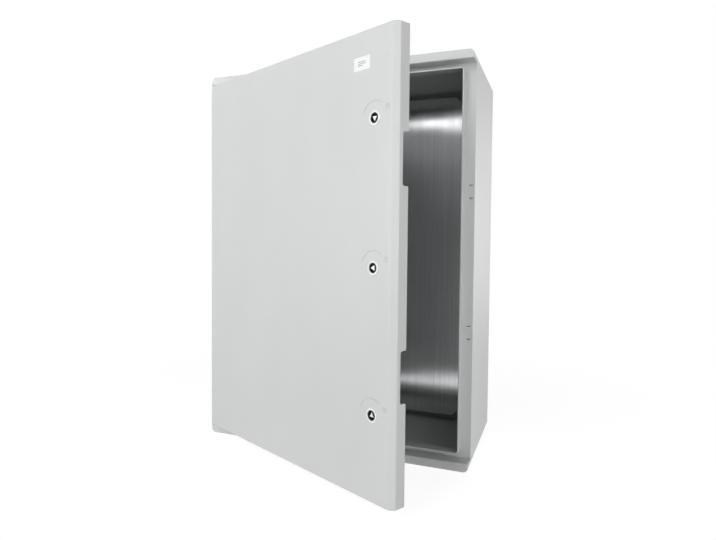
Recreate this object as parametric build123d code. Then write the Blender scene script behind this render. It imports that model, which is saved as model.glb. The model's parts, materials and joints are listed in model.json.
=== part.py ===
from build123d import *
import math
import os

# Wall-mount electrical cabinet: a moulded plastic box with a hinged door.
# X runs to the right and Z up. Y runs into the wall, and the box's back is at Y = 0.
# The origin is the centre of the four wall holes. All sizes are in millimetres.

# Box
WIDTH = 500.0
HEIGHT = 700.0
DEPTH = 250.0
WALL = 3.5
END_DRAFT = 11.0  # how far the top and bottom walls draw in from the lips to the back
EDGE_R = 9.0  # outer edges that run from front to back
BACK_EDGE_R = 5.0
LIP_HEIGHT = 15.0  # hoods over and under the door
LIP_DEPTH = 30.0  # front of the lips to the side flanges
LIP_EDGE_R = 1.5
FLANGE = 3.5
FLANGE_WIDTH = 20.0
FLANGE_EDGE_R = 1.0
RIM_WALL = 2.5
RIM_EDGE_R = 0.8
RIM_SETBACK = 10.0  # front of the lips to the edge that presses into the gasket
RIM_CORNER_R = 6.0
LIP_GROOVE = 10.0  # between the rim and each lip

# Wall holes
WALL_HOLE_D = 8.5
WALL_HOLE_INSET = 35.0  # from the box's sides, top and bottom
WALL_BOSS_D = 20.0
WALL_BOSS_HEIGHT = 6.0

# Mounting plate, its posts and its screws
PLATE_MARGIN = 25.0  # inside the box's sides, top and bottom
PLATE_THICK = 2.0
PLATE_CHAMFER = 45.0  # leaves the wall holes free to reach
PLATE_SCREW_INSET_X = 20.0  # from the plate's edges
PLATE_SCREW_INSET_Z = 55.0
PLATE_SCREW_CLEAR = 0.2
POST_D = 14.0
POST_HEIGHT = 9.5
GUSSET_THICK = 2.0
GUSSET_REACH = 5.0
INSERT_D = 7.4
INSERT_LENGTH = 8.0
PLATE_SCREW_D = 5.0
PLATE_SCREW_LENGTH = 9.0
PLATE_HEAD_D = 9.5
PLATE_HEAD_HEIGHT = 3.2

# Door
DOOR_SIDE_GAP = 1.5
DOOR_END_GAP = 1.0
DOOR_PROUD = 1.1  # ahead of the lips
DOOR_WALL = 3.0
DOOR_BEVEL = 8.0  # slope between the front and each side
DOOR_BEVEL_R = 2.5
DOOR_END_R = 2.5
DOOR_INNER_R = 1.0
SKIRT_GAP = 5.0  # back edge of the door to the side flanges
SKIRT_EDGE_R = 0.8
DOOR_OPEN_AT_REST = 27.5  # degrees

# Gasket and the two ribs that hold it
CHANNEL_WIDTH = 9.0
CHANNEL_RIB = 1.8
CHANNEL_OVER_RIM = 1.5  # how far the ribs reach back past the rim's edge
GASKET_GAP = 0.3  # left between gasket and rim with the door closed

# Hinges
HINGE_Z = 150.0
KNUCKLE_D = 10.0
KNUCKLE_LENGTH = 35.5
KNUCKLE_GAP = 0.5
KNUCKLE_LIFT = 0.5  # knuckle clear of the skirt's back edge
PIN_D = 4.0
PIN_FIT = 0.05
PIN_HEAD_D = 6.5
PIN_HEAD_HEIGHT = 1.5
PIN_TAIL = 1.0
NOTCH_HEIGHT = 74.0
NOTCH_CLEAR = 1.1
NOTCH_CORNER_R = 4.0
NOTCH_MOUTH_R = 2.5
BRACKET_THICK = 2.5
BRACKET_EDGE = 2.5  # from the side of the box
BRACKET_WIDTH = 11.5
BRACKET_END = 4.0  # past the far slot and past the leaf's knuckle
WEB_BACKSET = 2.5  # web of the bracket behind the pin
SLOT_FROM_HINGE = 19.5
SLOT_PITCH = 22.0
SLOT_WIDTH = 6.4
SLOT_HEIGHT = 2.0
SLOT_EDGE = 3.6  # from the side of the box
TAB_CLEAR = 0.2
HOOK_REACH = 1.8
HOOK_THICK = 2.2
LEAF_GAP = 0.3  # leaf to the inside of the skirt
LEAF_WIDTH = 5.7
LEAF_THICK = 2.5
LEAF_FOOT = 34.0
PAD_HEIGHT = 6.5
PAD_START = 2.0
PAD_PAST_LEAF = 2.0
LEAF_SCREW_D = 3.5
LEAF_SCREW_GRIP = 4.0  # length in the pad
LEAF_SCREW_FROM = (10.0, 24.0)
LEAF_HEAD_D = 5.4
LEAF_HEAD_HEIGHT = 2.2

# Quarter-turn locks, with distances measured back from the door's front face
LOCK_INSET = 40.0  # lock axis to the free side of the door
LOCK_PITCH = 208.5
RING_D = 21.0
RING_PROUD = 1.2
RING_CHAMFER = 0.5
BARREL_D = 18.0
BARREL_FIT = 0.15
LOCK_BOSS_D = 28.0
LOCK_BOSS_DEPTH = 8.0
SEAL_D = 25.0
SEAL_THICK = 1.0
NUT_ACROSS_FLATS = 24.0
NUT_THICK = 5.0
NUT_FIT = 0.05
ROTOR_HEAD_D = 15.0
ROTOR_HEAD_BACK = 18.0
ROTOR_SHAFT_D = 10.0
ROTOR_FIT = 0.05
ROTOR_SINK = 0.6  # rotor behind the front of the ring
ROTOR_END_PLAY = 0.3
CUP_D = 12.4
CUP_DEPTH = 9.0
KEY_SIDE = 8.0
KEY_SINK = 0.6  # key post behind the rotor's front
KEY_SOCKET = 3.0
CAM_BEHIND_FLANGE = 0.5
CAM_THICK = 3.0
CAM_WIDTH = 13.0
CAM_HUB_D = 17.0
CAM_OVERLAP = 10.0  # how far a locked cam reaches behind the flange
SPIGOT = 7.0
CAM_SCREW_D = 5.0
CAM_SCREW_DEPTH = 7.0
CAM_HEAD_D = 11.0
CAM_HEAD_HEIGHT = 3.0
HEX_SOCKET = 4.0
HEX_DEPTH = 1.8

# Label
LABEL_WIDTH = 32.0
LABEL_HEIGHT = 19.0
LABEL_THICK = 0.25
LABEL_CORNER_R = 0.8
LABEL_FROM_SIDE = 66.5
LABEL_FROM_TOP = 45.5

# Planes and half sizes that several pieces share
WALL_HOLE_X = WIDTH / 2 - WALL_HOLE_INSET
WALL_HOLE_Z = HEIGHT / 2 - WALL_HOLE_INSET
PLATE_X = WIDTH / 2 - PLATE_MARGIN
PLATE_Z = HEIGHT / 2 - PLATE_MARGIN
LIP_Z = HEIGHT / 2 - LIP_HEIGHT
RIM_OUT_X = WIDTH / 2 - FLANGE_WIDTH + RIM_WALL
RIM_OUT_Z = LIP_Z - LIP_GROOVE
OPENING_X = RIM_OUT_X - RIM_WALL
OPENING_Z = RIM_OUT_Z - RIM_WALL
FLANGE_Y = LIP_DEPTH - DEPTH
FLANGE_BACK_Y = FLANGE_Y + FLANGE
RIM_Y = RIM_SETBACK - DEPTH
PLATE_BACK_Y = -WALL - POST_HEIGHT
PLATE_FRONT_Y = PLATE_BACK_Y - PLATE_THICK
DOOR_X = WIDTH / 2 - DOOR_SIDE_GAP
DOOR_Z = LIP_Z - DOOR_END_GAP
DOOR_FRONT_Y = -DEPTH - DOOR_PROUD
DOOR_INNER_Y = DOOR_FRONT_Y + DOOR_WALL
SKIRT_Y = FLANGE_Y - SKIRT_GAP
CHANNEL_X = OPENING_X + RIM_WALL / 2
CHANNEL_Z = OPENING_Z + RIM_WALL / 2
CHANNEL_OUT = CHANNEL_WIDTH / 2 + CHANNEL_RIB
CHANNEL_Y = RIM_Y + CHANNEL_OVER_RIM
HINGE_X = -DOOR_X + KNUCKLE_D / 2
HINGE_Y = SKIRT_Y - KNUCKLE_LIFT - KNUCKLE_D / 2
NOTCH_Y = HINGE_Y - KNUCKLE_D / 2 - NOTCH_CLEAR
LOCK_X = DOOR_X - LOCK_INSET
CAM_FRONT = FLANGE_BACK_Y + CAM_BEHIND_FLANGE - DOOR_FRONT_Y
CAM_BACK = CAM_FRONT + CAM_THICK
CAM_LENGTH = OPENING_X + CAM_OVERLAP - LOCK_X
BARREL_END = CAM_FRONT - ROTOR_END_PLAY
HINGE_AXIS = Axis((HINGE_X, HINGE_Y, 0), (0, 0, 1))


def block(x0, x1, y0, y1, z0, z1):
    """A box between two corners."""
    middle = Pos((x0 + x1) / 2, (y0 + y1) / 2, (z0 + z1) / 2)
    return middle * Box(x1 - x0, y1 - y0, z1 - z0)


def across(sketch, x, z, y0, y1):
    """A sketch drawn as seen from the front, pushed from y0 back to y1."""
    return Pos(x, y1, z) * extrude(Plane.XZ * sketch, y1 - y0)


def rod(diameter, x, z, y0, y1):
    """A round bar that runs front to back."""
    return across(Circle(diameter / 2), x, z, y0, y1)


def upright(diameter, x, y, z0, z1):
    """A round bar that stands up."""
    return Pos(x, y, (z0 + z1) / 2) * Cylinder(diameter / 2, z1 - z0)


def box_form(inset):
    """The box's outer form, or the same form set in by a wall."""
    front = HEIGHT / 2 - inset
    back = front - END_DRAFT
    side = Polygon((inset - DEPTH, front), (-inset, back), (-inset, -back), (inset - DEPTH, -front),
                   align=None)
    form = extrude(Plane.YZ * side, WIDTH / 2 - inset, both=True)
    corners = form.edges().filter_by(lambda e: abs(e.center().X) > WIDTH / 4
                                     and inset - DEPTH < e.center().Y - 1 and e.center().Y + 1 < -inset)
    return fillet(corners, EDGE_R - inset)


def both_signs(x, z):
    """Four places, mirrored left to right and top to bottom."""
    return [(sx * x, sz * z) for sx in (-1, 1) for sz in (-1, 1)]


def plate_screw_places():
    x = PLATE_X - PLATE_SCREW_INSET_X
    return both_signs(x, PLATE_Z - PLATE_SCREW_INSET_Z) + [(-x, 0), (x, 0)]


def post(x, z):
    """A post for the mounting plate, with four gussets at its foot."""
    solid = rod(POST_D, x, z, PLATE_BACK_Y, -WALL)
    reach = POST_D / 2 + GUSSET_REACH
    foot = Polygon((-reach, 0), (reach, 0), (POST_D / 2, POST_HEIGHT / 2), (-POST_D / 2, POST_HEIGHT / 2),
                   align=None)
    fin = extrude(Plane(origin=(x, -WALL, z), x_dir=(1, 0, 0), z_dir=(0, 0, -1)) * foot,
                  GUSSET_THICK / 2, both=True)
    crossed = fin.rotate(Axis((x, 0, z), (0, 1, 0)), 90)
    return solid + fin + crossed


def hinge_slots():
    """Slots in both side flanges, so that the door can hang on either side."""
    out = WIDTH / 2 - SLOT_EDGE
    slots = []
    for side in (-1, 1):
        for end in (-1, 1):
            for k in (0, 1):
                z = end * (HINGE_Z - SLOT_FROM_HINGE - k * SLOT_PITCH)
                x = side * (out - SLOT_WIDTH / 2)
                slots.append(across(Rectangle(SLOT_WIDTH, SLOT_HEIGHT), x, z, FLANGE_Y, FLANGE_BACK_Y))
    return slots


def body_shell():
    big = WIDTH + HEIGHT
    outside = box_form(0)
    outside = fillet(outside.faces().sort_by(Axis.Y)[-1].edges(), BACK_EDGE_R)
    outside -= block(-big, big, -big, FLANGE_Y, -LIP_Z, LIP_Z)
    outside = fillet(outside.faces().group_by(Axis.Y)[0].edges(), LIP_EDGE_R)
    flange_edges = outside.edges().filter_by(Axis.Z).filter_by(
        lambda e: abs(e.center().Z) < 1 and abs(e.center().Y - FLANGE_Y) < 1)
    outside = fillet(flange_edges, FLANGE_EDGE_R)
    inside = box_form(WALL) - block(-big, big, -big, FLANGE_BACK_Y, -LIP_Z - WALL, LIP_Z + WALL)
    opening = RectangleRounded(2 * OPENING_X, 2 * OPENING_Z, RIM_CORNER_R - RIM_WALL)
    rim = across(RectangleRounded(2 * RIM_OUT_X, 2 * RIM_OUT_Z, RIM_CORNER_R) - opening, 0, 0, RIM_Y, FLANGE_Y)
    rim = fillet(rim.edges().group_by(Axis.Y)[0], RIM_EDGE_R)
    shell = outside - inside - across(opening, 0, 0, FLANGE_Y, FLANGE_BACK_Y) + rim
    for x, z in both_signs(WALL_HOLE_X, WALL_HOLE_Z):
        shell += rod(WALL_BOSS_D, x, z, -WALL - WALL_BOSS_HEIGHT, -WALL)
        shell -= rod(WALL_HOLE_D, x, z, -WALL - WALL_BOSS_HEIGHT, 0)
    for x, z in plate_screw_places():
        shell += post(x, z)
        shell -= rod(INSERT_D, x, z, PLATE_BACK_Y, PLATE_BACK_Y + INSERT_LENGTH)
    for slot in hinge_slots():
        shell -= slot
    return shell


def mounting_plate():
    outline = chamfer(Rectangle(2 * PLATE_X, 2 * PLATE_Z).vertices(), PLATE_CHAMFER)
    plate = across(outline, 0, 0, PLATE_FRONT_Y, PLATE_BACK_Y)
    for x, z in plate_screw_places():
        plate -= rod(PLATE_SCREW_D + 2 * PLATE_SCREW_CLEAR, x, z, PLATE_FRONT_Y, PLATE_BACK_Y)
    return plate


def plate_inserts():
    bushes = []
    for x, z in plate_screw_places():
        bush = rod(INSERT_D, x, z, PLATE_BACK_Y, PLATE_BACK_Y + INSERT_LENGTH)
        bushes.append(bush - rod(PLATE_SCREW_D + 2 * PIN_FIT, x, z, PLATE_BACK_Y, 0))
    return group(bushes)


def screw(x, z, seat_y, shank_d, shank_length, head_d, head_height, way):
    """A screw with a hexagon socket. Its head lies on seat_y and its shank points along way on Y."""
    head_end = seat_y - way * head_height
    shank_end = seat_y + way * shank_length
    solid = rod(head_d, x, z, min(seat_y, head_end), max(seat_y, head_end))
    solid = chamfer(solid.edges().sort_by(Axis.Y)[0 if way > 0 else -1], head_height / 4)
    solid += rod(shank_d, x, z, min(seat_y, shank_end), max(seat_y, shank_end))
    socket_end = head_end + way * HEX_DEPTH
    socket = RegularPolygon(HEX_SOCKET / 2, 6, major_radius=False)
    return solid - across(socket, x, z, min(head_end, socket_end), max(head_end, socket_end))


def plate_screws():
    return group([screw(x, z, PLATE_FRONT_Y, PLATE_SCREW_D, PLATE_SCREW_LENGTH, PLATE_HEAD_D,
                        PLATE_HEAD_HEIGHT, 1) for x, z in plate_screw_places()])


def group(solids):
    """Separate solids kept together as one node."""
    return Compound(children=[s for shape in solids for s in shape.solids()])


def tray(x, z, front_y, bevel, bevel_r, end_r):
    """A door-shaped block with its front sloped off to the sides and rounded at the top and bottom."""
    plan = Polygon((-x, SKIRT_Y), (-x, front_y + bevel), (bevel - x, front_y), (x - bevel, front_y),
                   (x, front_y + bevel), (x, SKIRT_Y), align=None)
    plan = fillet(plan.vertices().sort_by(Axis.Y)[:4], bevel_r)
    form = extrude(plan, z, both=True)
    ends = form.edges().filter_by(lambda e: abs(e.center().Z) > z - end_r and e.center().Y < SKIRT_Y - end_r)
    return fillet(ends, end_r)


def hinge_notch(side, end):
    """What one notch takes out of the skirt, with its corners and its mouth rounded."""
    notch = Pos((NOTCH_Y + SKIRT_Y) / 2, 0) * Rectangle(SKIRT_Y - NOTCH_Y, NOTCH_HEIGHT)
    notch = fillet(notch.vertices().group_by(Axis.X)[0], NOTCH_CORNER_R)
    notch += Pos(SKIRT_Y + DOOR_WALL / 2, 0) * Rectangle(DOOR_WALL, 2 * NOTCH_HEIGHT)
    mouth = notch.vertices().filter_by(lambda v: abs(v.X - SKIRT_Y) < 0.1 and abs(v.Y) < NOTCH_HEIGHT * 0.6)
    notch = fillet(mouth, NOTCH_MOUTH_R)
    return Pos(side * DOOR_X, 0, end * HINGE_Z) * extrude(Plane.YZ * notch, DOOR_WALL, both=True)


def leaf_pad(side, end):
    """A pad on the door's inside that a hinge leaf is screwed to."""
    z0 = HINGE_Z + KNUCKLE_LENGTH + PAD_START
    z1 = HINGE_Z + KNUCKLE_LENGTH + LEAF_FOOT + PAD_PAST_LEAF
    x0 = CHANNEL_X + CHANNEL_OUT
    x1 = DOOR_X - DOOR_WALL
    pad = block(x0, x1, DOOR_INNER_Y, DOOR_INNER_Y + PAD_HEIGHT, z0, z1)
    if side < 0:
        pad = mirror(pad, Plane.YZ)
    return mirror(pad, Plane.XY) if end < 0 else pad


def leaf_middle_x():
    return -DOOR_X + DOOR_WALL + LEAF_GAP + LEAF_WIDTH / 2


def leaf_screw_heights():
    return [HINGE_Z + KNUCKLE_LENGTH + step for step in LEAF_SCREW_FROM]


def door_panel():
    corners = [(side, end) for side in (-1, 1) for end in (-1, 1)]
    panel = tray(DOOR_X, DOOR_Z, DOOR_FRONT_Y, DOOR_BEVEL, DOOR_BEVEL_R, DOOR_END_R)
    panel = fillet(panel.edges().group_by(Axis.Y)[-1], SKIRT_EDGE_R)
    inner_bevel = DOOR_BEVEL - (2 - math.sqrt(2)) * DOOR_WALL
    cavity = tray(DOOR_X - DOOR_WALL, DOOR_Z - DOOR_WALL, DOOR_INNER_Y, inner_bevel, DOOR_INNER_R, DOOR_INNER_R)
    for side, end in corners:
        cavity -= leaf_pad(side, end)
    panel -= cavity
    half = CHANNEL_WIDTH / 2
    for outer, inner in ((CHANNEL_OUT, half), (-half, -CHANNEL_OUT)):
        rib = across(Rectangle(2 * (CHANNEL_X + outer), 2 * (CHANNEL_Z + outer)), 0, 0, DOOR_INNER_Y, CHANNEL_Y)
        rib -= across(Rectangle(2 * (CHANNEL_X + inner), 2 * (CHANNEL_Z + inner)), 0, 0, DOOR_INNER_Y, CHANNEL_Y)
        panel += rib
    pad_y = DOOR_INNER_Y + PAD_HEIGHT
    for side, end in corners:
        panel -= hinge_notch(side, end)
        for z in leaf_screw_heights():
            panel -= rod(LEAF_SCREW_D + 2 * PIN_FIT, side * -leaf_middle_x(), end * z,
                         pad_y - LEAF_SCREW_GRIP, pad_y)
    for z in lock_heights():
        panel += rod(LOCK_BOSS_D, LOCK_X, z, DOOR_INNER_Y, DOOR_FRONT_Y + LOCK_BOSS_DEPTH)
        panel -= rod(BARREL_D + 2 * BARREL_FIT, LOCK_X, z, DOOR_FRONT_Y, DOOR_FRONT_Y + LOCK_BOSS_DEPTH)
    return panel


def door_gasket():
    half = CHANNEL_WIDTH / 2
    back = RIM_Y - GASKET_GAP
    ring = across(Rectangle(2 * (CHANNEL_X + half), 2 * (CHANNEL_Z + half)), 0, 0, DOOR_INNER_Y, back)
    return ring - across(Rectangle(2 * (CHANNEL_X - half), 2 * (CHANNEL_Z - half)), 0, 0, DOOR_INNER_Y, back)


def blank_label():
    x = DOOR_X - LABEL_FROM_SIDE
    z = DOOR_Z - LABEL_FROM_TOP
    outline = RectangleRounded(LABEL_WIDTH, LABEL_HEIGHT, LABEL_CORNER_R)
    return across(outline, x, z, DOOR_FRONT_Y - LABEL_THICK, DOOR_FRONT_Y)


def hinge_bracket():
    """The upper hinge's half on the box. Two hooked tabs go through the flange."""
    x0 = -WIDTH / 2 + BRACKET_EDGE
    knuckle_top = HINGE_Z - KNUCKLE_GAP / 2
    far_slot = HINGE_Z - SLOT_FROM_HINGE - SLOT_PITCH
    bracket = block(x0, x0 + BRACKET_WIDTH, FLANGE_Y - BRACKET_THICK, FLANGE_Y,
                    far_slot - BRACKET_END, HINGE_Z + KNUCKLE_LENGTH + BRACKET_END)
    bracket += upright(KNUCKLE_D, HINGE_X, HINGE_Y, knuckle_top - KNUCKLE_LENGTH, knuckle_top)
    bracket += block(HINGE_X - WEB_BACKSET, HINGE_X + KNUCKLE_D / 2, HINGE_Y, FLANGE_Y - BRACKET_THICK,
                     knuckle_top - KNUCKLE_LENGTH, knuckle_top)
    bracket -= upright(PIN_D + 2 * PIN_FIT, HINGE_X, HINGE_Y, knuckle_top - KNUCKLE_LENGTH, knuckle_top)
    slot_x = -WIDTH / 2 + SLOT_EDGE + SLOT_WIDTH / 2
    tab_half_x = SLOT_WIDTH / 2 - TAB_CLEAR
    tab_half_z = SLOT_HEIGHT / 2 - TAB_CLEAR
    for k in (0, 1):
        z = HINGE_Z - SLOT_FROM_HINGE - k * SLOT_PITCH
        bracket += block(slot_x - tab_half_x, slot_x + tab_half_x, FLANGE_Y, FLANGE_BACK_Y + HOOK_THICK,
                         z - tab_half_z, z + tab_half_z)
        bracket += block(slot_x - tab_half_x, slot_x + tab_half_x, FLANGE_BACK_Y, FLANGE_BACK_Y + HOOK_THICK,
                         z - tab_half_z - HOOK_REACH, z + tab_half_z)
    return bracket


def hinge_leaf():
    """The upper hinge's half on the door: a knuckle on an arm, and a foot with two screw holes."""
    z0 = HINGE_Z + KNUCKLE_GAP / 2
    z1 = HINGE_Z + KNUCKLE_LENGTH
    x0 = leaf_middle_x() - LEAF_WIDTH / 2
    x1 = leaf_middle_x() + LEAF_WIDTH / 2
    foot_y = DOOR_INNER_Y + PAD_HEIGHT
    leaf = block(x0, x1, foot_y, foot_y + LEAF_THICK, z0, z1 + LEAF_FOOT)
    leaf += block(x0, x1, foot_y, HINGE_Y, z0, z1)
    leaf += upright(KNUCKLE_D, HINGE_X, HINGE_Y, z0, z1)
    leaf -= upright(PIN_D + 2 * PIN_FIT, HINGE_X, HINGE_Y, z0, z1)
    for z in leaf_screw_heights():
        leaf -= rod(LEAF_SCREW_D + 2 * PIN_FIT, leaf_middle_x(), z, foot_y, foot_y + LEAF_THICK)
    return leaf


def hinge_pin():
    """The upper hinge's pin. Its head rests on the leaf's knuckle and its tail shows below."""
    top = HINGE_Z + KNUCKLE_LENGTH
    bottom = HINGE_Z - KNUCKLE_GAP / 2 - KNUCKLE_LENGTH - PIN_TAIL
    pin = upright(PIN_D, HINGE_X, HINGE_Y, bottom, top)
    return pin + upright(PIN_HEAD_D, HINGE_X, HINGE_Y, top, top + PIN_HEAD_HEIGHT)


def leaf_screws():
    seat = DOOR_INNER_Y + PAD_HEIGHT + LEAF_THICK
    length = LEAF_THICK + LEAF_SCREW_GRIP - PIN_FIT
    return group([screw(leaf_middle_x(), end * z, seat, LEAF_SCREW_D, length, LEAF_HEAD_D, LEAF_HEAD_HEIGHT, -1)
                  for end in (1, -1) for z in leaf_screw_heights()])


def lock_heights():
    return (LOCK_PITCH, 0, -LOCK_PITCH)


def lock_rod(diameter, z, start, stop):
    """A round bar on a lock's axis, between two distances behind the door's front face."""
    return rod(diameter, LOCK_X, z, DOOR_FRONT_Y + start, DOOR_FRONT_Y + stop)


def lock_prism(sketch, z, start, stop):
    return across(sketch, LOCK_X, z, DOOR_FRONT_Y + start, DOOR_FRONT_Y + stop)


def key_triangle(pointing):
    """The triangle that the key turns, with one corner at the angle given."""
    radius = KEY_SIDE / math.sqrt(3)
    angles = [math.radians(pointing + turn) for turn in (0, 120, 240)]
    return Polygon(*[(radius * math.cos(a), radius * math.sin(a)) for a in angles], align=None)


def lock_housing(z):
    ring = lock_rod(RING_D, z, -RING_PROUD, 0)
    ring = chamfer(ring.edges().sort_by(Axis.Y)[0], RING_CHAMFER)
    housing = ring + lock_rod(BARREL_D, z, 0, BARREL_END)
    housing -= lock_rod(ROTOR_HEAD_D, z, -RING_PROUD, ROTOR_HEAD_BACK + ROTOR_END_PLAY)
    return housing - lock_rod(ROTOR_SHAFT_D, z, 0, BARREL_END)


def lock_seal(z):
    outer = lock_rod(SEAL_D, z, LOCK_BOSS_DEPTH, LOCK_BOSS_DEPTH + SEAL_THICK)
    return outer - lock_rod(BARREL_D + 2 * NUT_FIT, z, LOCK_BOSS_DEPTH, BARREL_END)


def lock_nut(z):
    start = LOCK_BOSS_DEPTH + SEAL_THICK
    hexagon = RegularPolygon(NUT_ACROSS_FLATS / 2, 6, major_radius=False)
    nut = lock_prism(hexagon, z, start, start + NUT_THICK)
    return nut - lock_rod(BARREL_D + 2 * NUT_FIT, z, start, BARREL_END)


def lock_rotor(z, pointing):
    front = ROTOR_SINK - RING_PROUD
    rotor = lock_rod(ROTOR_HEAD_D - 2 * ROTOR_FIT, z, front, ROTOR_HEAD_BACK)
    rotor += lock_rod(ROTOR_SHAFT_D - 2 * ROTOR_FIT, z, ROTOR_HEAD_BACK, CAM_FRONT)
    rotor += lock_prism(Rectangle(SPIGOT, SPIGOT), z, CAM_FRONT, CAM_BACK)
    rotor -= lock_rod(CUP_D, z, front, front + CUP_DEPTH)
    rotor -= lock_prism(key_triangle(pointing), z, front, front + CUP_DEPTH + KEY_SOCKET)
    return rotor - lock_rod(CAM_SCREW_D + 2 * PIN_FIT, z, CAM_BACK - CAM_SCREW_DEPTH, CAM_BACK)


def lock_key_post(z, pointing):
    front = ROTOR_SINK - RING_PROUD
    return lock_prism(key_triangle(pointing), z, front + KEY_SINK, front + CUP_DEPTH + KEY_SOCKET)


def lock_cam(z):
    """The tongue that turns behind the flange. It points up while the lock is open."""
    arm = Pos(0, CAM_LENGTH / 2) * Rectangle(CAM_WIDTH, CAM_LENGTH)
    arm = chamfer(arm.vertices().group_by(Axis.Y)[-1], CAM_WIDTH / 4)
    outline = arm + Circle(CAM_HUB_D / 2) - Rectangle(SPIGOT + 2 * PIN_FIT, SPIGOT + 2 * PIN_FIT)
    return lock_prism(outline, z, CAM_FRONT, CAM_BACK)


def lock_cam_screw(z):
    return screw(LOCK_X, z, DOOR_FRONT_Y + CAM_BACK, CAM_SCREW_D, CAM_SCREW_DEPTH - PIN_FIT, CAM_HEAD_D,
                 CAM_HEAD_HEIGHT, -1)


def door_nodes():
    """Everything that swings with the door, drawn with the door closed."""
    leaf = hinge_leaf()
    nodes = {
        "door_panel": door_panel(),
        "door_gasket": door_gasket(),
        "blank_label": blank_label(),
        "hinge_leaf_top": leaf,
        "hinge_leaf_bottom": mirror(leaf, Plane.XY),
        "leaf_screws": leaf_screws(),
    }
    for name, z, pointing in zip(("top", "middle", "bottom"), lock_heights(), (270, 180, 90)):
        nodes["lock_housing_" + name] = lock_housing(z)
        nodes["lock_seal_" + name] = lock_seal(z)
        nodes["lock_nut_" + name] = lock_nut(z)
        nodes["lock_rotor_" + name] = lock_rotor(z, pointing)
        nodes["lock_key_post_" + name] = lock_key_post(z, pointing)
        nodes["lock_cam_" + name] = lock_cam(z)
        nodes["lock_cam_screw_" + name] = lock_cam_screw(z)
    return nodes


def cabinet_nodes():
    """Everything that stays on the wall."""
    bracket = hinge_bracket()
    pin = hinge_pin()
    return {
        "body_shell": body_shell(),
        "mounting_plate": mounting_plate(),
        "plate_inserts": plate_inserts(),
        "plate_screws": plate_screws(),
        "hinge_bracket_top": bracket,
        "hinge_bracket_bottom": mirror(bracket, Plane.XY),
        "hinge_pin_top": pin,
        "hinge_pin_bottom": mirror(pin, Plane.XY),
    }


def main():
    os.makedirs("parts", exist_ok=True)
    nodes = cabinet_nodes()
    for name, solid in door_nodes().items():
        nodes[name] = solid.rotate(HINGE_AXIS, -DOOR_OPEN_AT_REST)
    for name, solid in nodes.items():
        export_step(solid, f"parts/{name}.step")


main()
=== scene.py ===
import json
import math

import bmesh
import bpy
from bpy.props import FloatProperty, FloatVectorProperty, PointerProperty, StringProperty
from mathutils import Matrix, Vector


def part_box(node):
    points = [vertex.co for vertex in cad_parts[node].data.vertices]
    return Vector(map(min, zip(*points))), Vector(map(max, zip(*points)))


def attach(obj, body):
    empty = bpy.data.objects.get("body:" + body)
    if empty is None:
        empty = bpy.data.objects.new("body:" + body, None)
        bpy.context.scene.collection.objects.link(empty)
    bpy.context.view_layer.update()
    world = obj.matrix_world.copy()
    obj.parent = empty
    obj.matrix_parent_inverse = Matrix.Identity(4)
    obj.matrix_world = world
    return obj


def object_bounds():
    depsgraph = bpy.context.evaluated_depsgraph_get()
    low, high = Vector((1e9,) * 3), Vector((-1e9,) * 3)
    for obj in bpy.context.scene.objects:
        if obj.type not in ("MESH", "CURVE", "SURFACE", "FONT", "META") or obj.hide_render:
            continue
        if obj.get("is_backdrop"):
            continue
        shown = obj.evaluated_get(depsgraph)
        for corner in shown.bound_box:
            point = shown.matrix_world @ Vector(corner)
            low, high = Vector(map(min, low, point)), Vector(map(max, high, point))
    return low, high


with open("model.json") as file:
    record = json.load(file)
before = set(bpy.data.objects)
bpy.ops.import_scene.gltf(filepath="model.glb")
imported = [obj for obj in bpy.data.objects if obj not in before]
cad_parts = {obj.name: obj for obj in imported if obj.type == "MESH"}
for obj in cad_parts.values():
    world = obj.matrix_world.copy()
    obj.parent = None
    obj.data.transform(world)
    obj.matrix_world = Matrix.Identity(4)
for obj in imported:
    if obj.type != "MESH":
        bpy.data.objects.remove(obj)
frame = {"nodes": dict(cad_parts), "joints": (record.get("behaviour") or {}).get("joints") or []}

bl_info = {
    "name": "Wall-mount electrical cabinet",
    "version": (1, 0, 0),
    "blender": (4, 5, 0),
    "location": "View3D > Sidebar > Cabinet",
    "description": "Finishes, moulded signs, label and stage of a wall-mount electrical cabinet",
    "category": "Object",
}

LOCKS = ("top", "middle", "bottom")
LAMPS = ("key", "high", "window", "back", "top", "side", "fill")
MM = 0.001
# The width of the camera's sensor, mm
SENSOR_WIDTH = 36.0
# The section of a moulded or printed line: places across its width, and shares of its height
LINE_SECTION = ((-0.5, 0), (-0.32, 1), (0.32, 1), (0.5, 0))
# How far such a line reaches into the surface under it, mm
LINE_SUNK = 0.05
# The label's ruled lines: rows from its middle, and shares of the rule length
RULED_ROWS = ((1, 1.0), (0, 1.0), (-1, 0.6))
# How many points an arc, a shackle and a corner have
ARC_POINTS = 40
SHACKLE_POINTS = 10
CORNER_POINTS = 4
# The Mix node's two inputs and its output, for colours and for plain values
MIX_SOCKETS = {"RGBA": (6, 7, 2), "FLOAT": (2, 3, 0)}


def spread(start, stop, count):
    """Evenly spaced values from start to stop, both included."""
    return [start + (stop - start) * k / (count - 1) for k in range(count)]


# Colours


def linear(hex_colour):
    """The linear RGBA of an sRGB colour such as "D6D8D8"."""
    channels = [int(hex_colour[k:k + 2], 16) / 255 for k in (0, 2, 4)]
    return [c / 12.92 if c <= 0.04045 else ((c + 0.055) / 1.055) ** 2.4 for c in channels] + [1.0]


def colour_property(label, words, default):
    return StringProperty(name=label, description=words, default=default, maxlen=6)


def size_property(label, words, default):
    """A length in millimetres."""
    return FloatProperty(name=label, description=words, default=default, min=0.0, precision=3)


def plane_property(label, words, default):
    """A place along one axis in millimetres, on either side of the middle."""
    return FloatProperty(name=label, description=words, default=default, precision=3)


def angle_property(label, words, degrees):
    return FloatProperty(name=label, description=words, subtype="ANGLE", default=math.radians(degrees))


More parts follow.
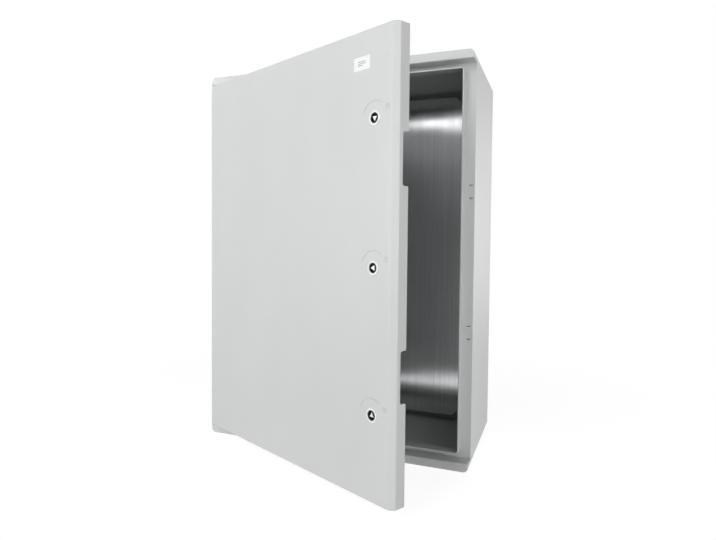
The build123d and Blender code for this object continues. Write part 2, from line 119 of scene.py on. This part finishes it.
def place_property(label, words, default):
    """A point in metres."""
    return FloatVectorProperty(name=label, description=words, subtype="XYZ", unit="LENGTH", size=3,
                               default=default)


def power_property(label, words, default):
    """A lamp's power in watts."""
    return FloatProperty(name=label, description=words, unit="POWER", default=default, min=0)


def lamp_size_property(label, words, default):
    """A lamp's width and height in metres."""
    return FloatVectorProperty(name=label, description=words, unit="LENGTH", size=2, default=default)


# Properties


class CabinetFinishes(bpy.types.PropertyGroup):
    box_colour: colour_property("Box", "Colour of the moulded box", "D2D4D3")
    # The inner colour is darker than the box's to paint the shade inside the cavity and the rim's throat
    inner_shade_colour: colour_property("Box inside", "Colour of the box's matt inner side", "AAACAB")
    inner_roughness: FloatProperty(name="Inside roughness", description="Roughness of the box's inner side",
                                   default=0.6, min=0, max=1)
    cavity_half_x: size_property("Cavity X", "Middle to the inner side walls, mm", 247.0)
    cavity_half_z: size_property("Cavity Z", "Middle to the inner top and bottom, mm", 347.0)
    cavity_front: plane_property("Cavity front", "Back of the flanges, mm", -214.5)
    cavity_back: plane_property("Cavity back", "Inner side of the back, mm", -1.5)
    throat_half_x: size_property("Throat X", "Middle to the rim's inner sides, mm", 230.3)
    throat_half_z: size_property("Throat Z", "Middle to the rim's inner top and bottom, mm", 322.8)
    throat_front: plane_property("Throat front", "Just behind the rim's edge, mm", -238.8)
    door_colour: colour_property("Door", "Colour of the moulded door", "CFD1D0")
    # Darker than the door to paint the shade along the raised lines
    line_shade_colour: colour_property("Moulded lines", "Colour of the moulded arcs and padlock signs", "BBBEBC")
    hinge_colour: colour_property("Hinges", "Colour of the moulded hinge halves", "A9ADAF")
    ring_colour: colour_property("Lock rings", "Colour of the lock housings", "F0F1F1")
    rotor_colour: colour_property("Rotors", "Colour of the part that turns in a lock", "232425")
    foam_colour: colour_property("Gasket", "Colour of the foam gasket", "A0A2A1")
    rubber_colour: colour_property("Seals", "Colour of the rubber washers", "1E1F20")
    sheet_colour: colour_property("Mounting plate", "Colour of the galvanised sheet", "E8EAEC")
    zinc_colour: colour_property("Zinc plating", "Colour of screws, nuts and cams", "B9BBBC")
    post_colour: colour_property("Key posts", "Colour of the locks' three-sided posts", "E4E5E6")
    brass_colour: colour_property("Brass", "Colour of the inserts", "C9A860")
    label_colour: colour_property("Label", "Colour of the label film", "F0F1EF")
    ink_colour: colour_property("Ink", "Colour of the lines ruled on the label", "8A8E86")


class CabinetSigns(bpy.types.PropertyGroup):
    arc_radius: size_property("Arc radius", "Centre of a lock to its moulded arc, mm", 24.0)
    arc_start: angle_property("Arc start", "Left end of the arc", 160)
    arc_end: angle_property("Arc end", "Right end of the arc", 52)
    line_width: size_property("Line width", "Width of a moulded line, mm", 1.1)
    line_height: size_property("Line height", "How far a moulded line stands out, mm", 0.45)
    sign_angle: angle_property("Sign angle", "Direction from a lock to its padlock sign", 27)
    sign_radius: size_property("Sign radius", "Centre of a lock to its padlock sign, mm", 27.5)
    sign_width: size_property("Sign width", "Width of a padlock sign's body, mm", 6.0)
    sign_height: size_property("Sign height", "Height of a padlock sign's body, mm", 4.6)
    sign_corner: size_property("Sign corner", "Radius of a padlock sign's corners, mm", 0.92)
    shackle_radius: size_property("Shackle radius", "Radius of a padlock sign's shackle, mm", 1.8)
    sign_line: size_property("Sign line", "Width of a padlock sign's line, mm", 0.8)
    rule_length: size_property("Rule length", "Length of the label's long ruled lines, mm", 15.0)
    rule_gap: size_property("Rule gap", "From one ruled line to the next, mm", 2.6)
    rule_width: size_property("Rule width", "Width of a ruled line, mm", 1.4)
    rule_height: size_property("Rule height", "How far a ruled line stands off the door, mm", 0.36)


class CabinetStage(bpy.types.PropertyGroup):
    camera_place: place_property("Camera", "Place of the camera", (0.4043, -1.2714, 0.0482))
    camera_turn: angle_property("Turn", "Camera's turn from straight at the wall", -24.19)
    camera_tilt: angle_property("Tilt", "Camera's tilt from level", -2.16)
    camera_roll: angle_property("Roll", "Camera's roll", 0.34)
    lens: FloatProperty(name="Lens", description="Focal length, mm", default=30.5, min=1)
    shift_x: FloatProperty(name="Shift X", description="Sideways shift of the picture", default=0.0782)
    shift_y: FloatProperty(name="Shift Y", description="Upward shift of the picture", default=-0.0196)
    key_place: place_property("Key lamp", "Place of the lamp in front", (-1.9, -2.5, 0.05))
    key_power: power_property("Key power", "Power of the lamp in front", 52.0)
    key_size: lamp_size_property("Key size", "Width and height of the lamp in front", (1.8, 1.8))
    high_place: place_property("High lamp", "Place of the high lamp in front", (-0.5, -2.0, 1.4))
    high_power: power_property("High power", "Power of the high lamp", 14.5)
    high_size: lamp_size_property("High size", "Width and height of the high lamp", (1.0, 1.0))
    window_place: place_property("Window lamp", "Place of the lamp that the plate mirrors over the door",
                                 (-0.4, -2.4, 0.8))
    window_power: power_property("Window power", "Power of the window lamp", 4.2)
    window_size: lamp_size_property("Window size", "Width and height of the window lamp", (1.2, 0.9))
    back_place: place_property("Back lamp", "Place of the high lamp behind", (0.35, 1.0, 1.5))
    back_power: power_property("Back power", "Power of the high lamp behind", 7.0)
    back_size: lamp_size_property("Back size", "Width and height of the high lamp behind", (0.8, 0.8))
    top_place: place_property("Top lamp", "Place of the lamp above, on the right", (0.7, -1.1, 1.4))
    top_power: power_property("Top power", "Power of the lamp above", 2.2)
    top_size: lamp_size_property("Top size", "Width and height of the lamp above", (0.6, 0.6))
    side_place: place_property("Side lamp", "Place of the lamp behind, on the right", (1.6, 2.5, -0.15))
    side_power: power_property("Side power", "Power of the lamp behind, on the right", 18.0)
    side_size: lamp_size_property("Side size", "Width and height of the lamp behind, on the right",
                                  (0.5, 2.0))
    fill_place: place_property("Fill lamp", "Place of the lamp in front, on the right", (1.95, -1.4, 0.15))
    fill_power: power_property("Fill power", "Power of the lamp in front, on the right", 18.5)
    fill_size: lamp_size_property("Fill size", "Width and height of the lamp in front, on the right",
                                  (1.3, 1.0))
    floor_size: FloatProperty(name="Floor", description="Side of the square floor", unit="LENGTH",
                              default=12.0)
    floor_colour: colour_property("Floor colour", "Colour of the paper floor", "F2F2F2")
    floor_level: FloatProperty(name="Floor level", description="Level of the floor beside the cabinet",
                               default=1.14, min=0)
    floor_shading: FloatProperty(name="Floor shading", description="Part of that level that shadows take",
                                 default=0.24, min=0, max=1)
    white_from: FloatProperty(name="White from", description="Where the floor starts to turn plain white",
                              unit="LENGTH", default=0.333)
    white_to: FloatProperty(name="White to", description="Where the floor is plain white", unit="LENGTH",
                            default=0.889)


# Materials


def add_node(material, kind, values=None, links=None):
    """Adds one node. values sets its own settings or its inputs, and links joins its inputs to outputs."""
    node = material.node_tree.nodes.new(kind)
    for key, value in (values or {}).items():
        if isinstance(key, int) or key in node.inputs:
            node.inputs[key].default_value = value
        else:
            setattr(node, key, value)
    for key, output in (links or {}).items():
        material.node_tree.links.new(output, node.inputs[key])
    return node


def new_material(name, **surface):
    """A material with one plain shader, whose fixed values are set on its own sockets."""
    material = bpy.data.materials.new(name)
    material.use_nodes = True
    shader = material.node_tree.nodes["Principled BSDF"]
    for socket, value in surface.items():
        shader.inputs[socket.replace("_", " ")].default_value = value
    return material, shader


def link(material, output, socket):
    material.node_tree.links.new(output, socket)


def noise(material, grain_mm, stretch=(1, 1, 1), detail=2.0):
    """Noise whose grains are grain_mm across, drawn out along the axes by stretch."""
    place = add_node(material, "ShaderNodeTexCoord")
    scale = [1 / (grain_mm * MM * s) for s in stretch]
    mapped = add_node(material, "ShaderNodeMapping", {"Scale": scale}, {"Vector": place.outputs["Object"]})
    made = add_node(material, "ShaderNodeTexNoise", {"Scale": 1.0, "Detail": detail},
                    {"Vector": mapped.outputs["Vector"]})
    return made.outputs["Fac"]


def ranged(material, value, low, high, from_low=0.3, from_high=0.7):
    """A noise value taken to the range from low to high."""
    node = add_node(material, "ShaderNodeMapRange",
                    {"From Min": from_low, "From Max": from_high, "To Min": low, "To Max": high},
                    {"Value": value})
    return node.outputs["Result"]


def mixed(material, kind, share, first, second):
    """The first value where share is 0, the second where it is 1. Each is a constant or a node's output."""
    node = add_node(material, "ShaderNodeMix", {"data_type": kind}, {0: share})
    first_socket, second_socket, out = MIX_SOCKETS[kind]
    for socket, value in ((first_socket, first), (second_socket, second)):
        if isinstance(value, bpy.types.NodeSocket):
            link(material, value, node.inputs[socket])
        else:
            node.inputs[socket].default_value = value
    return node.outputs[out]


def shade(hex_colour, factor):
    """The hex colour made darker or lighter by a factor."""
    channels = [min(255, round(int(hex_colour[k:k + 2], 16) * factor)) for k in (0, 2, 4)]
    return "".join(f"{c:02X}" for c in channels)


def coloured(material, shader, pattern, dark, light):
    """Lets a pattern take the surface from the dark to the light hex colour."""
    share = ranged(material, pattern, 0, 1)
    link(material, mixed(material, "RGBA", share, linear(dark), linear(light)), shader.inputs["Base Color"])


def roughened(material, shader, pattern, smooth, rough):
    """Lets a pattern take the surface from smooth to rough."""
    link(material, ranged(material, pattern, smooth, rough), shader.inputs["Roughness"])


def bump(material, shader, layers, edge_mm=0.0):
    """Bumps given as (height value, depth in mm, strength), over edges rounded by edge_mm."""
    normal = None
    if edge_mm:
        rounded = add_node(material, "ShaderNodeBevel", {"Radius": edge_mm * MM, "samples": 4})
        normal = rounded.outputs["Normal"]
    for height, depth_mm, strength in layers:
        links = {"Height": height}
        if normal is not None:
            links["Normal"] = normal
        node = add_node(material, "ShaderNodeBump", {"Distance": depth_mm * MM, "Strength": strength}, links)
        normal = node.outputs["Normal"]
    link(material, normal, shader.inputs["Normal"])


def within(material, half_x, half_z, front, back):
    """1 inside a box given in the object's own coordinates, in millimetres, else 0."""
    place = add_node(material, "ShaderNodeTexCoord").outputs["Object"]
    axes = add_node(material, "ShaderNodeSeparateXYZ", None, {0: place}).outputs
    share = None
    for axis, middle, reach in (("X", 0, half_x), ("Z", 0, half_z),
                                ("Y", (front + back) / 2, (back - front) / 2)):
        limits = {"operation": "COMPARE", 1: middle * MM, 2: reach * MM}
        test = add_node(material, "ShaderNodeMath", limits, {0: axes[axis]}).outputs[0]
        if share is not None:
            both = add_node(material, "ShaderNodeMath", {"operation": "MULTIPLY"}, {0: share, 1: test})
            test = both.outputs[0]
        share = test
    return share


def refinished(material, share, colour, roughness):
    """Gives the material another colour and roughness where share is 1."""
    shader = material.node_tree.nodes["Principled BSDF"]
    for name, kind, value in (("Base Color", "RGBA", linear(colour)), ("Roughness", "FLOAT", roughness)):
        socket = shader.inputs[name]
        before = socket.links[0].from_socket
        link(material, mixed(material, kind, share, before, value), socket)


def moulded_abs(name, colour, grain_mm, roughness, edge_mm):
    """ABS moulded in a spark-eroded tool: an even, slightly warm satin with a very fine grain.
    The grain is really about 0.1 mm and is drawn coarser, so that it shows. Wide flow marks from the
    filling of the mould vary the sheen a little."""
    material, shader = new_material(name, IOR=1.53)
    flow = noise(material, 90, stretch=(1, 1, 2.2), detail=3)
    coloured(material, shader, flow, shade(colour, 0.985), colour)
    roughened(material, shader, flow, roughness - 0.04, roughness + 0.05)
    bump(material, shader, [(noise(material, grain_mm), 0.03, 0.5), (flow, 0.25, 0.25)], edge_mm)
    return material


def moulded_polyamide(name, colour, roughness):
    """Polyamide moulded in a plain tool: smoother and glossier than the ABS, with soft edges."""
    material, shader = new_material(name, IOR=1.53)
    cloud = noise(material, 6)
    coloured(material, shader, cloud, shade(colour, 0.95), colour)
    roughened(material, shader, cloud, roughness - 0.05, roughness + 0.05)
    bump(material, shader, [(noise(material, 0.8), 0.02, 0.4)], edge_mm=0.3)
    return material


def galvanised_sheet(name, colour):
    """Galvanised and skin-passed steel sheet: a soft mirror with a fine upright rolling grain, so bright
    things behind the camera show in it as bands."""
    material, shader = new_material(name, Metallic=1.0)
    rolled = noise(material, 1.2, stretch=(1, 1, 180), detail=3)
    cloud = noise(material, 35, stretch=(1, 1, 1.6), detail=3)
    coloured(material, shader, rolled, shade(colour, 0.92), colour)
    roughened(material, shader, cloud, 0.13, 0.18)
    bump(material, shader, [(rolled, 0.015, 0.2)], edge_mm=0.3)
    return material


def zinc_plating(name, colour, roughness=0.32):
    """Zinc-plated steel: a bright, slightly cloudy metal with tumbled, rounded edges."""
    material, shader = new_material(name, Metallic=1.0)
    cloud = noise(material, 2.5, detail=3)
    coloured(material, shader, cloud, shade(colour, 0.88), colour)
    roughened(material, shader, cloud, roughness - 0.06, roughness + 0.06)
    bump(material, shader, [(noise(material, 0.6), 0.01, 0.3)], edge_mm=0.25)
    return material


def turned_brass(name, colour):
    """Machined brass: a warm metal with fine turning marks."""
    material, shader = new_material(name, Metallic=1.0)
    turned = noise(material, 0.5, stretch=(1, 0.4, 1))
    coloured(material, shader, turned, shade(colour, 0.85), colour)
    roughened(material, shader, turned, 0.25, 0.38)
    return material


def foamed_gasket(name, colour):
    """Foamed-in-place polyurethane: matt and pale, with a skin of small blisters."""
    material, shader = new_material(name, IOR=1.5)
    cells = noise(material, 0.9, detail=4)
    coloured(material, shader, cells, shade(colour, 0.7), colour)
    roughened(material, shader, cells, 0.75, 0.92)
    bump(material, shader, [(cells, 0.15, 0.6)])
    return material


def vulcanised_rubber(name, colour):
    """Black rubber: matt, with a faint bloom."""
    material, shader = new_material(name, IOR=1.52)
    bloom = noise(material, 2, detail=3)
    coloured(material, shader, bloom, colour, shade(colour, 1.5))
    roughened(material, shader, bloom, 0.6, 0.75)
    return material


def polyester_film(name, colour):
    """Polyester label film or the ink printed on it: smooth, with a faint orange-peel."""
    material, shader = new_material(name, IOR=1.57)
    peel = noise(material, 1.5)
    coloured(material, shader, peel, shade(colour, 0.985), colour)
    roughened(material, shader, peel, 0.3, 0.38)
    bump(material, shader, [(peel, 0.01, 0.3)])
    return material


def moulded_line_material(finishes):
    """The door's ABS where it stands out as thin lines, coloured a little darker than the door as painted
    shade of the raised relief. It is made once.
    """
    name = "Moulded ABS lines"
    made = bpy.data.materials.get(name)
    return made or moulded_abs(name, finishes.line_shade_colour, grain_mm=1.0, roughness=0.45, edge_mm=0)


def finish(material, *nodes):
    """Gives a material to CAD nodes."""
    for name in nodes:
        mesh = frame["nodes"][name].data
        mesh.materials.clear()
        mesh.materials.append(material)


# Meshes that lie on the door's face


def door_place(lock):
    """The place on the door's face at a lock: X along the face, Y up and Z out of the door."""
    joint = next(j for j in frame["joints"] if j["name"] == f"lock_{lock}_turn")
    inward = Vector(joint["axis"]).normalized()
    up = Vector((0, 0, 1))
    along = up.cross(-inward)
    place = Matrix((along, up, -inward)).transposed().to_4x4()
    place.translation = Vector(joint["pos_m"])
    return place


def raised_line(made, points, width, height, closed=False):
    """Adds a line of even width with sloped flanks to a mesh in the making. Sizes are in millimetres."""
    count = len(points)
    rings = []
    for k in range(count):
        before = points[k - 1] if closed or k else points[k]
        after = points[(k + 1) % count] if closed or k < count - 1 else points[k]
        run = Vector((after[0] - before[0], after[1] - before[1])).normalized()
        side = Vector((-run.y, run.x))
        centre = Vector(points[k])
        ring = []
        for offset, lift in LINE_SECTION:
            flat = centre + side * offset * width
            ring.append(made.verts.new((flat.x * MM, flat.y * MM, (lift * height - LINE_SUNK) * MM)))
        rings.append(ring)
    following = rings[1:] + rings[:1] if closed else rings[1:]
    corners = len(LINE_SECTION)
    for one, other in zip(rings, following):
        for corner in range(corners):
            beside = (corner + 1) % corners
            made.faces.new((one[corner], one[beside], other[beside], other[corner]))
    if not closed:
        made.faces.new(rings[0])
        made.faces.new(list(reversed(rings[-1])))


def door_piece(name, made, lock, material):
    """Turns a mesh in the making into a piece that lies on the door's face and swings with it."""
    bmesh.ops.recalc_face_normals(made, faces=made.faces)
    mesh = bpy.data.meshes.new(name)
    made.to_mesh(mesh)
    made.free()
    mesh.transform(door_place(lock))
    mesh.materials.append(material)
    piece = bpy.data.objects.new(name, mesh)
    bpy.context.scene.collection.objects.link(piece)
    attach(piece, "door")


def arc_points(centre, radius, start, end, count):
    """Points along an arc, from one angle to another in radians."""
    return [(centre[0] + radius * math.cos(a), centre[1] + radius * math.sin(a))
            for a in spread(start, end, count)]


def rounded_rectangle(centre, width, height, radius):
    """The outline of a rectangle with round corners, anticlockwise."""
    points = []
    for k, (sx, sy) in enumerate(((1, 1), (-1, 1), (-1, -1), (1, -1))):
        corner = (centre[0] + sx * (width / 2 - radius), centre[1] + sy * (height / 2 - radius))
        start = k * math.pi / 2
        points += arc_points(corner, radius, start, start + math.pi / 2, CORNER_POINTS)
    return points


# Operators


class CABINET_OT_box(bpy.types.Operator):
    """Finishes the moulded box, whose inner side is rougher than its outer side and painted darker as shade
    inside the cavity
    """

    bl_idname = "cabinet.box"
    bl_label = "Moulded box"
    bl_options = {"REGISTER"}

    def execute(self, context):
        finishes = context.scene.cabinet_finishes
        material = moulded_abs("Moulded ABS box", finishes.box_colour, grain_mm=1.1, roughness=0.42,
                               edge_mm=0.6)
        cavity = within(material, finishes.cavity_half_x, finishes.cavity_half_z,
                        finishes.cavity_front, finishes.cavity_back)
        throat = within(material, finishes.throat_half_x, finishes.throat_half_z,
                        finishes.throat_front, finishes.cavity_front)
        inside = add_node(material, "ShaderNodeMath", {"operation": "MAXIMUM"}, {0: cavity, 1: throat})
        # Painted shade: the cavity and the throat take the darker inner colour, and a higher roughness
        refinished(material, inside.outputs[0], finishes.inner_shade_colour, finishes.inner_roughness)
        finish(material, "body_shell")
        return {"FINISHED"}


class CABINET_OT_door(bpy.types.Operator):
    """Finishes the moulded door"""

    bl_idname = "cabinet.door"
    bl_label = "Moulded door"
    bl_options = {"REGISTER"}

    def execute(self, context):
        colour = context.scene.cabinet_finishes.door_colour
        finish(moulded_abs("Moulded ABS door", colour, grain_mm=1.0, roughness=0.38, edge_mm=0.6),
               "door_panel")
        return {"FINISHED"}


class CABINET_OT_plate(bpy.types.Operator):
    """Finishes the mounting plate with its inserts and screws"""

    bl_idname = "cabinet.plate"
    bl_label = "Mounting plate"
    bl_options = {"REGISTER"}

    def execute(self, context):
        finishes = context.scene.cabinet_finishes
        finish(galvanised_sheet("Galvanised steel sheet", finishes.sheet_colour), "mounting_plate")
        finish(turned_brass("Turned brass", finishes.brass_colour), "plate_inserts")
        finish(zinc_plating("Zinc-plated screws", finishes.zinc_colour), "plate_screws", "leaf_screws")
        return {"FINISHED"}


class CABINET_OT_hinges(bpy.types.Operator):
    """Finishes both hinges and their pins"""

    bl_idname = "cabinet.hinges"
    bl_label = "Hinges"
    bl_options = {"REGISTER"}

    def execute(self, context):
        finishes = context.scene.cabinet_finishes
        halves = [f"hinge_{half}_{end}" for half in ("bracket", "leaf") for end in ("top", "bottom")]
        finish(moulded_polyamide("Moulded polyamide hinges", finishes.hinge_colour, roughness=0.4), *halves)
        finish(zinc_plating("Drawn steel pins", finishes.zinc_colour, roughness=0.25),
               "hinge_pin_top", "hinge_pin_bottom")
        return {"FINISHED"}


class CABINET_OT_seals(bpy.types.Operator):
    """Finishes the door's gasket and the washers under the lock nuts"""

    bl_idname = "cabinet.seals"
    bl_label = "Gasket and seals"
    bl_options = {"REGISTER"}

    def execute(self, context):
        finishes = context.scene.cabinet_finishes
        finish(foamed_gasket("Foamed polyurethane", finishes.foam_colour), "door_gasket")
        finish(vulcanised_rubber("Vulcanised rubber", finishes.rubber_colour),
               *[f"lock_seal_{lock}" for lock in LOCKS])
        return {"FINISHED"}


class CABINET_OT_locks(bpy.types.Operator):
    """Finishes the three quarter-turn locks"""

    bl_idname = "cabinet.locks"
    bl_label = "Locks"
    bl_options = {"REGISTER"}

    def execute(self, context):
        finishes = context.scene.cabinet_finishes
        ring, rotor, post, zinc = (finishes.ring_colour, finishes.rotor_colour, finishes.post_colour,
                                   finishes.zinc_colour)
        made = {
            "lock_housing": moulded_polyamide("Pale polyamide lock rings", ring, roughness=0.3),
            "lock_rotor": moulded_polyamide("Black polyamide rotors", rotor, roughness=0.35),
            "lock_key_post": zinc_plating("Bright zinc die casting", post, roughness=0.35),
            "lock_nut": zinc_plating("Zinc-plated nuts", zinc, roughness=0.38),
            "lock_cam": zinc_plating("Zinc-plated cams", zinc, roughness=0.42),
            "lock_cam_screw": zinc_plating("Zinc-plated cam screws", zinc, roughness=0.28),
        }
        for node, material in made.items():
            finish(material, *[f"{node}_{lock}" for lock in LOCKS])
        return {"FINISHED"}


class CABINET_OT_arcs(bpy.types.Operator):
    """Adds the moulded arc over each lock"""

    bl_idname = "cabinet.arcs"
    bl_label = "Moulded arcs"
    bl_options = {"REGISTER"}

    def execute(self, context):
        signs = context.scene.cabinet_signs
        material = moulded_line_material(context.scene.cabinet_finishes)
        for lock in LOCKS:
            made = bmesh.new()
            line = arc_points((0, 0), signs.arc_radius, signs.arc_start, signs.arc_end, ARC_POINTS)
            raised_line(made, line, signs.line_width, signs.line_height)
            door_piece(f"moulded_arc_{lock}", made, lock, material)
        return {"FINISHED"}


class CABINET_OT_padlock_signs(bpy.types.Operator):
    """Adds the small moulded padlock sign beside each lock"""

    bl_idname = "cabinet.padlock_signs"
    bl_label = "Padlock signs"
    bl_options = {"REGISTER"}

    def execute(self, context):
        signs = context.scene.cabinet_signs
        material = moulded_line_material(context.scene.cabinet_finishes)
        centre = (signs.sign_radius * math.cos(signs.sign_angle),
                  signs.sign_radius * math.sin(signs.sign_angle))
        top = (centre[0], centre[1] + signs.sign_height / 2)
        for lock in LOCKS:
            made = bmesh.new()
            outline = rounded_rectangle(centre, signs.sign_width, signs.sign_height, signs.sign_corner)
            raised_line(made, outline, signs.sign_line, signs.line_height, closed=True)
            shackle = arc_points(top, signs.shackle_radius, 0, math.pi, SHACKLE_POINTS)
            raised_line(made, shackle, signs.sign_line, signs.line_height)
            door_piece(f"padlock_sign_{lock}", made, lock, material)
        return {"FINISHED"}


class CABINET_OT_label(bpy.types.Operator):
    """Finishes the blank label and rules three plain lines on it"""

    bl_idname = "cabinet.label"
    bl_label = "Label"
    bl_options = {"REGISTER"}

    def execute(self, context):
        finishes = context.scene.cabinet_finishes
        finish(polyester_film("White polyester film", finishes.label_colour), "blank_label")
        signs = context.scene.cabinet_signs
        low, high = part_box("blank_label")
        middle = door_place("top").inverted() @ ((low + high) / 2) / MM
        left = middle.x - signs.rule_length / 2
        made = bmesh.new()
        for row, share in RULED_ROWS:
            y = middle.y + row * signs.rule_gap
            raised_line(made, [(left, y), (left + share * signs.rule_length, y)],
                        signs.rule_width, signs.rule_height)
        ink = polyester_film("Grey printing ink", finishes.ink_colour)
        door_piece("label_ruled_lines", made, "top", ink)
        return {"FINISHED"}


class CABINET_OT_stage(bpy.types.Operator):
    """Sets the pale floor, the studio light and the camera"""

    bl_idname = "cabinet.stage"
    bl_label = "Stage"
    bl_options = {"REGISTER"}

    def execute(self, context):
        stage = context.scene.cabinet_stage
        self.floor(stage)
        self.world()
        low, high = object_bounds()
        middle = (Vector(low) + Vector(high)) / 2
        for name in LAMPS:
            place, power, size = (getattr(stage, f"{name}_{value}") for value in ("place", "power", "size"))
            self.lamp(f"{name.title()} lamp", place, middle, power, size)
        self.camera(stage)
        context.scene.view_settings.view_transform = "Standard"
        return {"FINISHED"}

    def floor(self, stage):
        """A pale floor that is white to the camera away from the cabinet, and keeps its shadow."""
        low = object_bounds()[0]
        half = stage.floor_size / 2
        mesh = bpy.data.meshes.new("floor")
        corners = [(-half, -half, low[2]), (half, -half, low[2]), (half, half, low[2]), (-half, half, low[2])]
        mesh.from_pydata(corners, [], [(0, 1, 2, 3)])
        material = bpy.data.materials.new("White paper floor")
        material.use_nodes = True
        material.node_tree.nodes.clear()
        self.floor_nodes(stage, material)
        mesh.materials.append(material)
        floor = bpy.data.objects.new("floor", mesh)
        bpy.context.scene.collection.objects.link(floor)
        floor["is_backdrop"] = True

    def floor_nodes(self, stage, material):
        """Paper to the lamps, plain white in reflections, and white with a soft shadow to the camera."""
        place = add_node(material, "ShaderNodeTexCoord").outputs["Object"]
        flat = add_node(material, "ShaderNodeMapping", {"Scale": (1, 1, 0)}, {"Vector": place})
        far = add_node(material, "ShaderNodeVectorMath", {"operation": "LENGTH"},
                       {0: flat.outputs["Vector"]}).outputs["Value"]
        fade = ranged(material, far, 0, 1, stage.white_from, stage.white_to)
        share = stage.floor_shading
        near = add_node(material, "ShaderNodeBsdfDiffuse", {"Color": (share, share, share, 1)})
        glow = add_node(material, "ShaderNodeEmission", {"Strength": stage.floor_level - share})
        lit = add_node(material, "ShaderNodeAddShader", None, {0: near.outputs[0], 1: glow.outputs[0]})
        white = add_node(material, "ShaderNodeEmission", {"Strength": 1.0})
        paper = add_node(material, "ShaderNodeBsdfDiffuse", {"Color": linear(stage.floor_colour)})
        paths = add_node(material, "ShaderNodeLightPath")
        faded = add_node(material, "ShaderNodeMixShader", None,
                         {0: fade, 1: lit.outputs[0], 2: white.outputs[0]})
        shown = add_node(material, "ShaderNodeMixShader", None,
                         {0: self.mirrored_ray(material, paths), 1: paper.outputs[0], 2: white.outputs[0]})
        shown = add_node(material, "ShaderNodeMixShader", None,
                         {0: paths.outputs["Is Camera Ray"], 1: shown.outputs[0], 2: faded.outputs[0]})
        add_node(material, "ShaderNodeOutputMaterial", None, {"Surface": shown.outputs[0]})

    def mirrored_ray(self, owner, paths):
        """1 for what is seen in a reflection or through a clear piece, else 0."""
        kinds = {0: paths.outputs["Is Glossy Ray"], 1: paths.outputs["Is Transmission Ray"]}
        return add_node(owner, "ShaderNodeMath", {"operation": "MAXIMUM"}, kinds).outputs[0]

    def world(self):
        """White surroundings for the camera and in reflections, which give no light of their own."""
        world = bpy.data.worlds.new("Studio")
        world.use_nodes = True
        world.node_tree.nodes.clear()
        paths = add_node(world, "ShaderNodeLightPath")
        seen = {0: self.mirrored_ray(world, paths), 1: paths.outputs["Is Camera Ray"]}
        strength = add_node(world, "ShaderNodeMath", {"operation": "MAXIMUM"}, seen).outputs[0]
        white = add_node(world, "ShaderNodeBackground", {"Color": (1, 1, 1, 1)}, {"Strength": strength})
        add_node(world, "ShaderNodeOutputWorld", None, {"Surface": white.outputs[0]})
        bpy.context.scene.world = world

    def lamp(self, name, place, aim, power, size):
        """Adds a soft lamp of that width and height, which looks at the aim."""
        data = bpy.data.lights.new(name, "AREA")
        data.shape = "ELLIPSE"
        data.size, data.size_y = size
        data.energy = power
        lamp = bpy.data.objects.new(name, data)
        lamp.location = place
        lamp.rotation_euler = (Vector(aim) - Vector(place)).to_track_quat("-Z", "Y").to_euler()
        bpy.context.scene.collection.objects.link(lamp)

    def camera(self, stage):
        """Adds the camera that sees the cabinet as the photograph does."""
        turn, tilt, roll = stage.camera_turn, stage.camera_tilt, stage.camera_roll
        ahead = Vector((math.sin(turn) * math.cos(tilt), math.cos(turn) * math.cos(tilt), math.sin(tilt)))
        level = Vector((math.cos(turn), -math.sin(turn), 0))
        above = level.cross(ahead)
        right = level * math.cos(roll) + above * math.sin(roll)
        up = above * math.cos(roll) - level * math.sin(roll)
        data = bpy.data.cameras.new("Camera")
        data.lens = stage.lens
        data.sensor_width = SENSOR_WIDTH
        data.shift_x = stage.shift_x
        data.shift_y = stage.shift_y
        camera = bpy.data.objects.new("Camera", data)
        place = Matrix((right, up, -ahead)).transposed().to_4x4()
        place.translation = Vector(stage.camera_place)
        camera.matrix_world = place
        bpy.context.scene.collection.objects.link(camera)
        bpy.context.scene.camera = camera


OPERATORS = (
    CABINET_OT_box,
    CABINET_OT_door,
    CABINET_OT_plate,
    CABINET_OT_hinges,
    CABINET_OT_seals,
    CABINET_OT_locks,
    CABINET_OT_arcs,
    CABINET_OT_padlock_signs,
    CABINET_OT_label,
    CABINET_OT_stage,
)


class CABINET_PT_panel(bpy.types.Panel):
    """Lists the cabinet's operators, sizes and colours"""

    bl_label = "Electrical cabinet"
    bl_idname = "CABINET_PT_panel"
    bl_space_type = "VIEW_3D"
    bl_region_type = "UI"
    bl_category = "Cabinet"

    def draw(self, context):
        for operator in OPERATORS:
            self.layout.operator(operator.bl_idname)
        for group in (context.scene.cabinet_finishes, context.scene.cabinet_signs,
                      context.scene.cabinet_stage):
            column = self.layout.column()
            for name in type(group).__annotations__:
                column.prop(group, name)


CLASSES = (CabinetFinishes, CabinetSigns, CabinetStage) + OPERATORS + (CABINET_PT_panel,)


def register():
    for cls in CLASSES:
        bpy.utils.register_class(cls)
    bpy.types.Scene.cabinet_finishes = PointerProperty(type=CabinetFinishes)
    bpy.types.Scene.cabinet_signs = PointerProperty(type=CabinetSigns)
    bpy.types.Scene.cabinet_stage = PointerProperty(type=CabinetStage)


def unregister():
    del bpy.types.Scene.cabinet_stage
    del bpy.types.Scene.cabinet_signs
    del bpy.types.Scene.cabinet_finishes
    for cls in reversed(CLASSES):
        bpy.utils.unregister_class(cls)


def main():
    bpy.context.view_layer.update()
    register()
    for operator in OPERATORS:
        group, name = operator.bl_idname.split(".")
        getattr(getattr(bpy.ops, group), name)()


if __name__ == "__main__":
    main()
